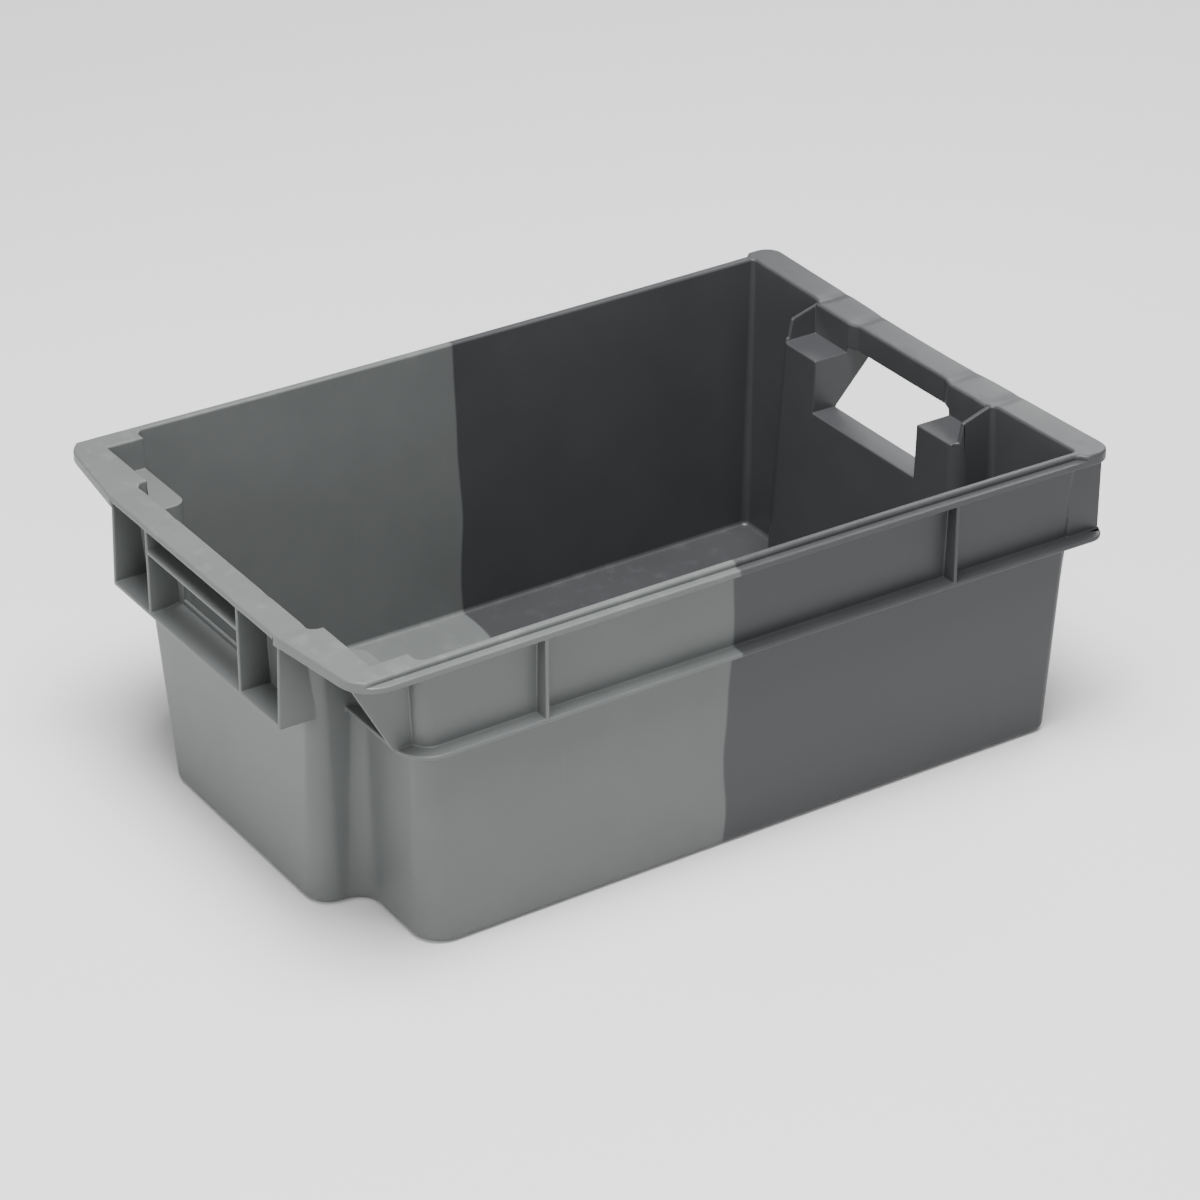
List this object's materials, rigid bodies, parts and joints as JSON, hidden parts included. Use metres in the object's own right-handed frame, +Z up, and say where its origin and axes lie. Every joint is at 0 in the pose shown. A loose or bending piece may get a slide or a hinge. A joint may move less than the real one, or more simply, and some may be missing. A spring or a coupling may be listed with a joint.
{
  "type": "stacking crate",
  "caption": "Open plastic crate with tapered sides, a ribbed collar, hand holds in both ends and shelves for stacking when turned round.",
  "frame": {"origin": "middle of the footprint, at the height of the underside of the floor", "axes": "+X along the long sides from the light end to the dark end, +Y from the front long side to the back, +Z up"},
  "size_m": [0.6, 0.4, 0.22],
  "materials": {
    "light_grey_plastic": "satin, fine moulded grain",
    "dark_grey_plastic": "satin, fine moulded grain"
  },
  "bodies": {
    "root": {"dark_back_collar_rib": "dark_grey_plastic", "dark_back_corner": "dark_grey_plastic", "dark_back_grip_web": "dark_grey_plastic", "dark_back_ledge": "dark_grey_plastic", "dark_back_outer_web": "dark_grey_plastic", "dark_back_rim": "dark_grey_plastic", "dark_back_shelf": "dark_grey_plastic", "dark_back_wall": "dark_grey_plastic", "dark_back_wing": "dark_grey_plastic", "dark_end_ledge": "dark_grey_plastic", "dark_end_rim": "dark_grey_plastic", "dark_end_wall": "dark_grey_plastic", "dark_floor": "dark_grey_plastic", "dark_front_collar_rib": "dark_grey_plastic", "dark_front_corner": "dark_grey_plastic", "dark_front_grip_web": "dark_grey_plastic", "dark_front_ledge": "dark_grey_plastic", "dark_front_outer_web": "dark_grey_plastic", "dark_front_rim": "dark_grey_plastic", "dark_front_shelf": "dark_grey_plastic", "dark_front_wall": "dark_grey_plastic", "dark_front_wing": "dark_grey_plastic", "dark_grip": "dark_grey_plastic", "light_back_collar_rib": "light_grey_plastic", "light_back_corner": "light_grey_plastic", "light_back_gusset": "light_grey_plastic", "light_back_handle_web": "light_grey_plastic", "light_back_ledge": "light_grey_plastic", "light_back_outer_web": "light_grey_plastic", "light_back_rim": "light_grey_plastic", "light_back_shelf": "light_grey_plastic", "light_back_wall": "light_grey_plastic", "light_end_ledge": "light_grey_plastic", "light_end_rim": "light_grey_plastic", "light_end_wall": "light_grey_plastic", "light_floor": "light_grey_plastic", "light_front_collar_rib": "light_grey_plastic", "light_front_corner": "light_grey_plastic", "light_front_gusset": "light_grey_plastic", "light_front_handle_web": "light_grey_plastic", "light_front_ledge": "light_grey_plastic", "light_front_outer_web": "light_grey_plastic", "light_front_rim": "light_grey_plastic", "light_front_shelf": "light_grey_plastic", "light_front_wall": "light_grey_plastic", "light_handle_rib": "light_grey_plastic", "light_handle_sill": "light_grey_plastic"}
  },
  "joints": []
}
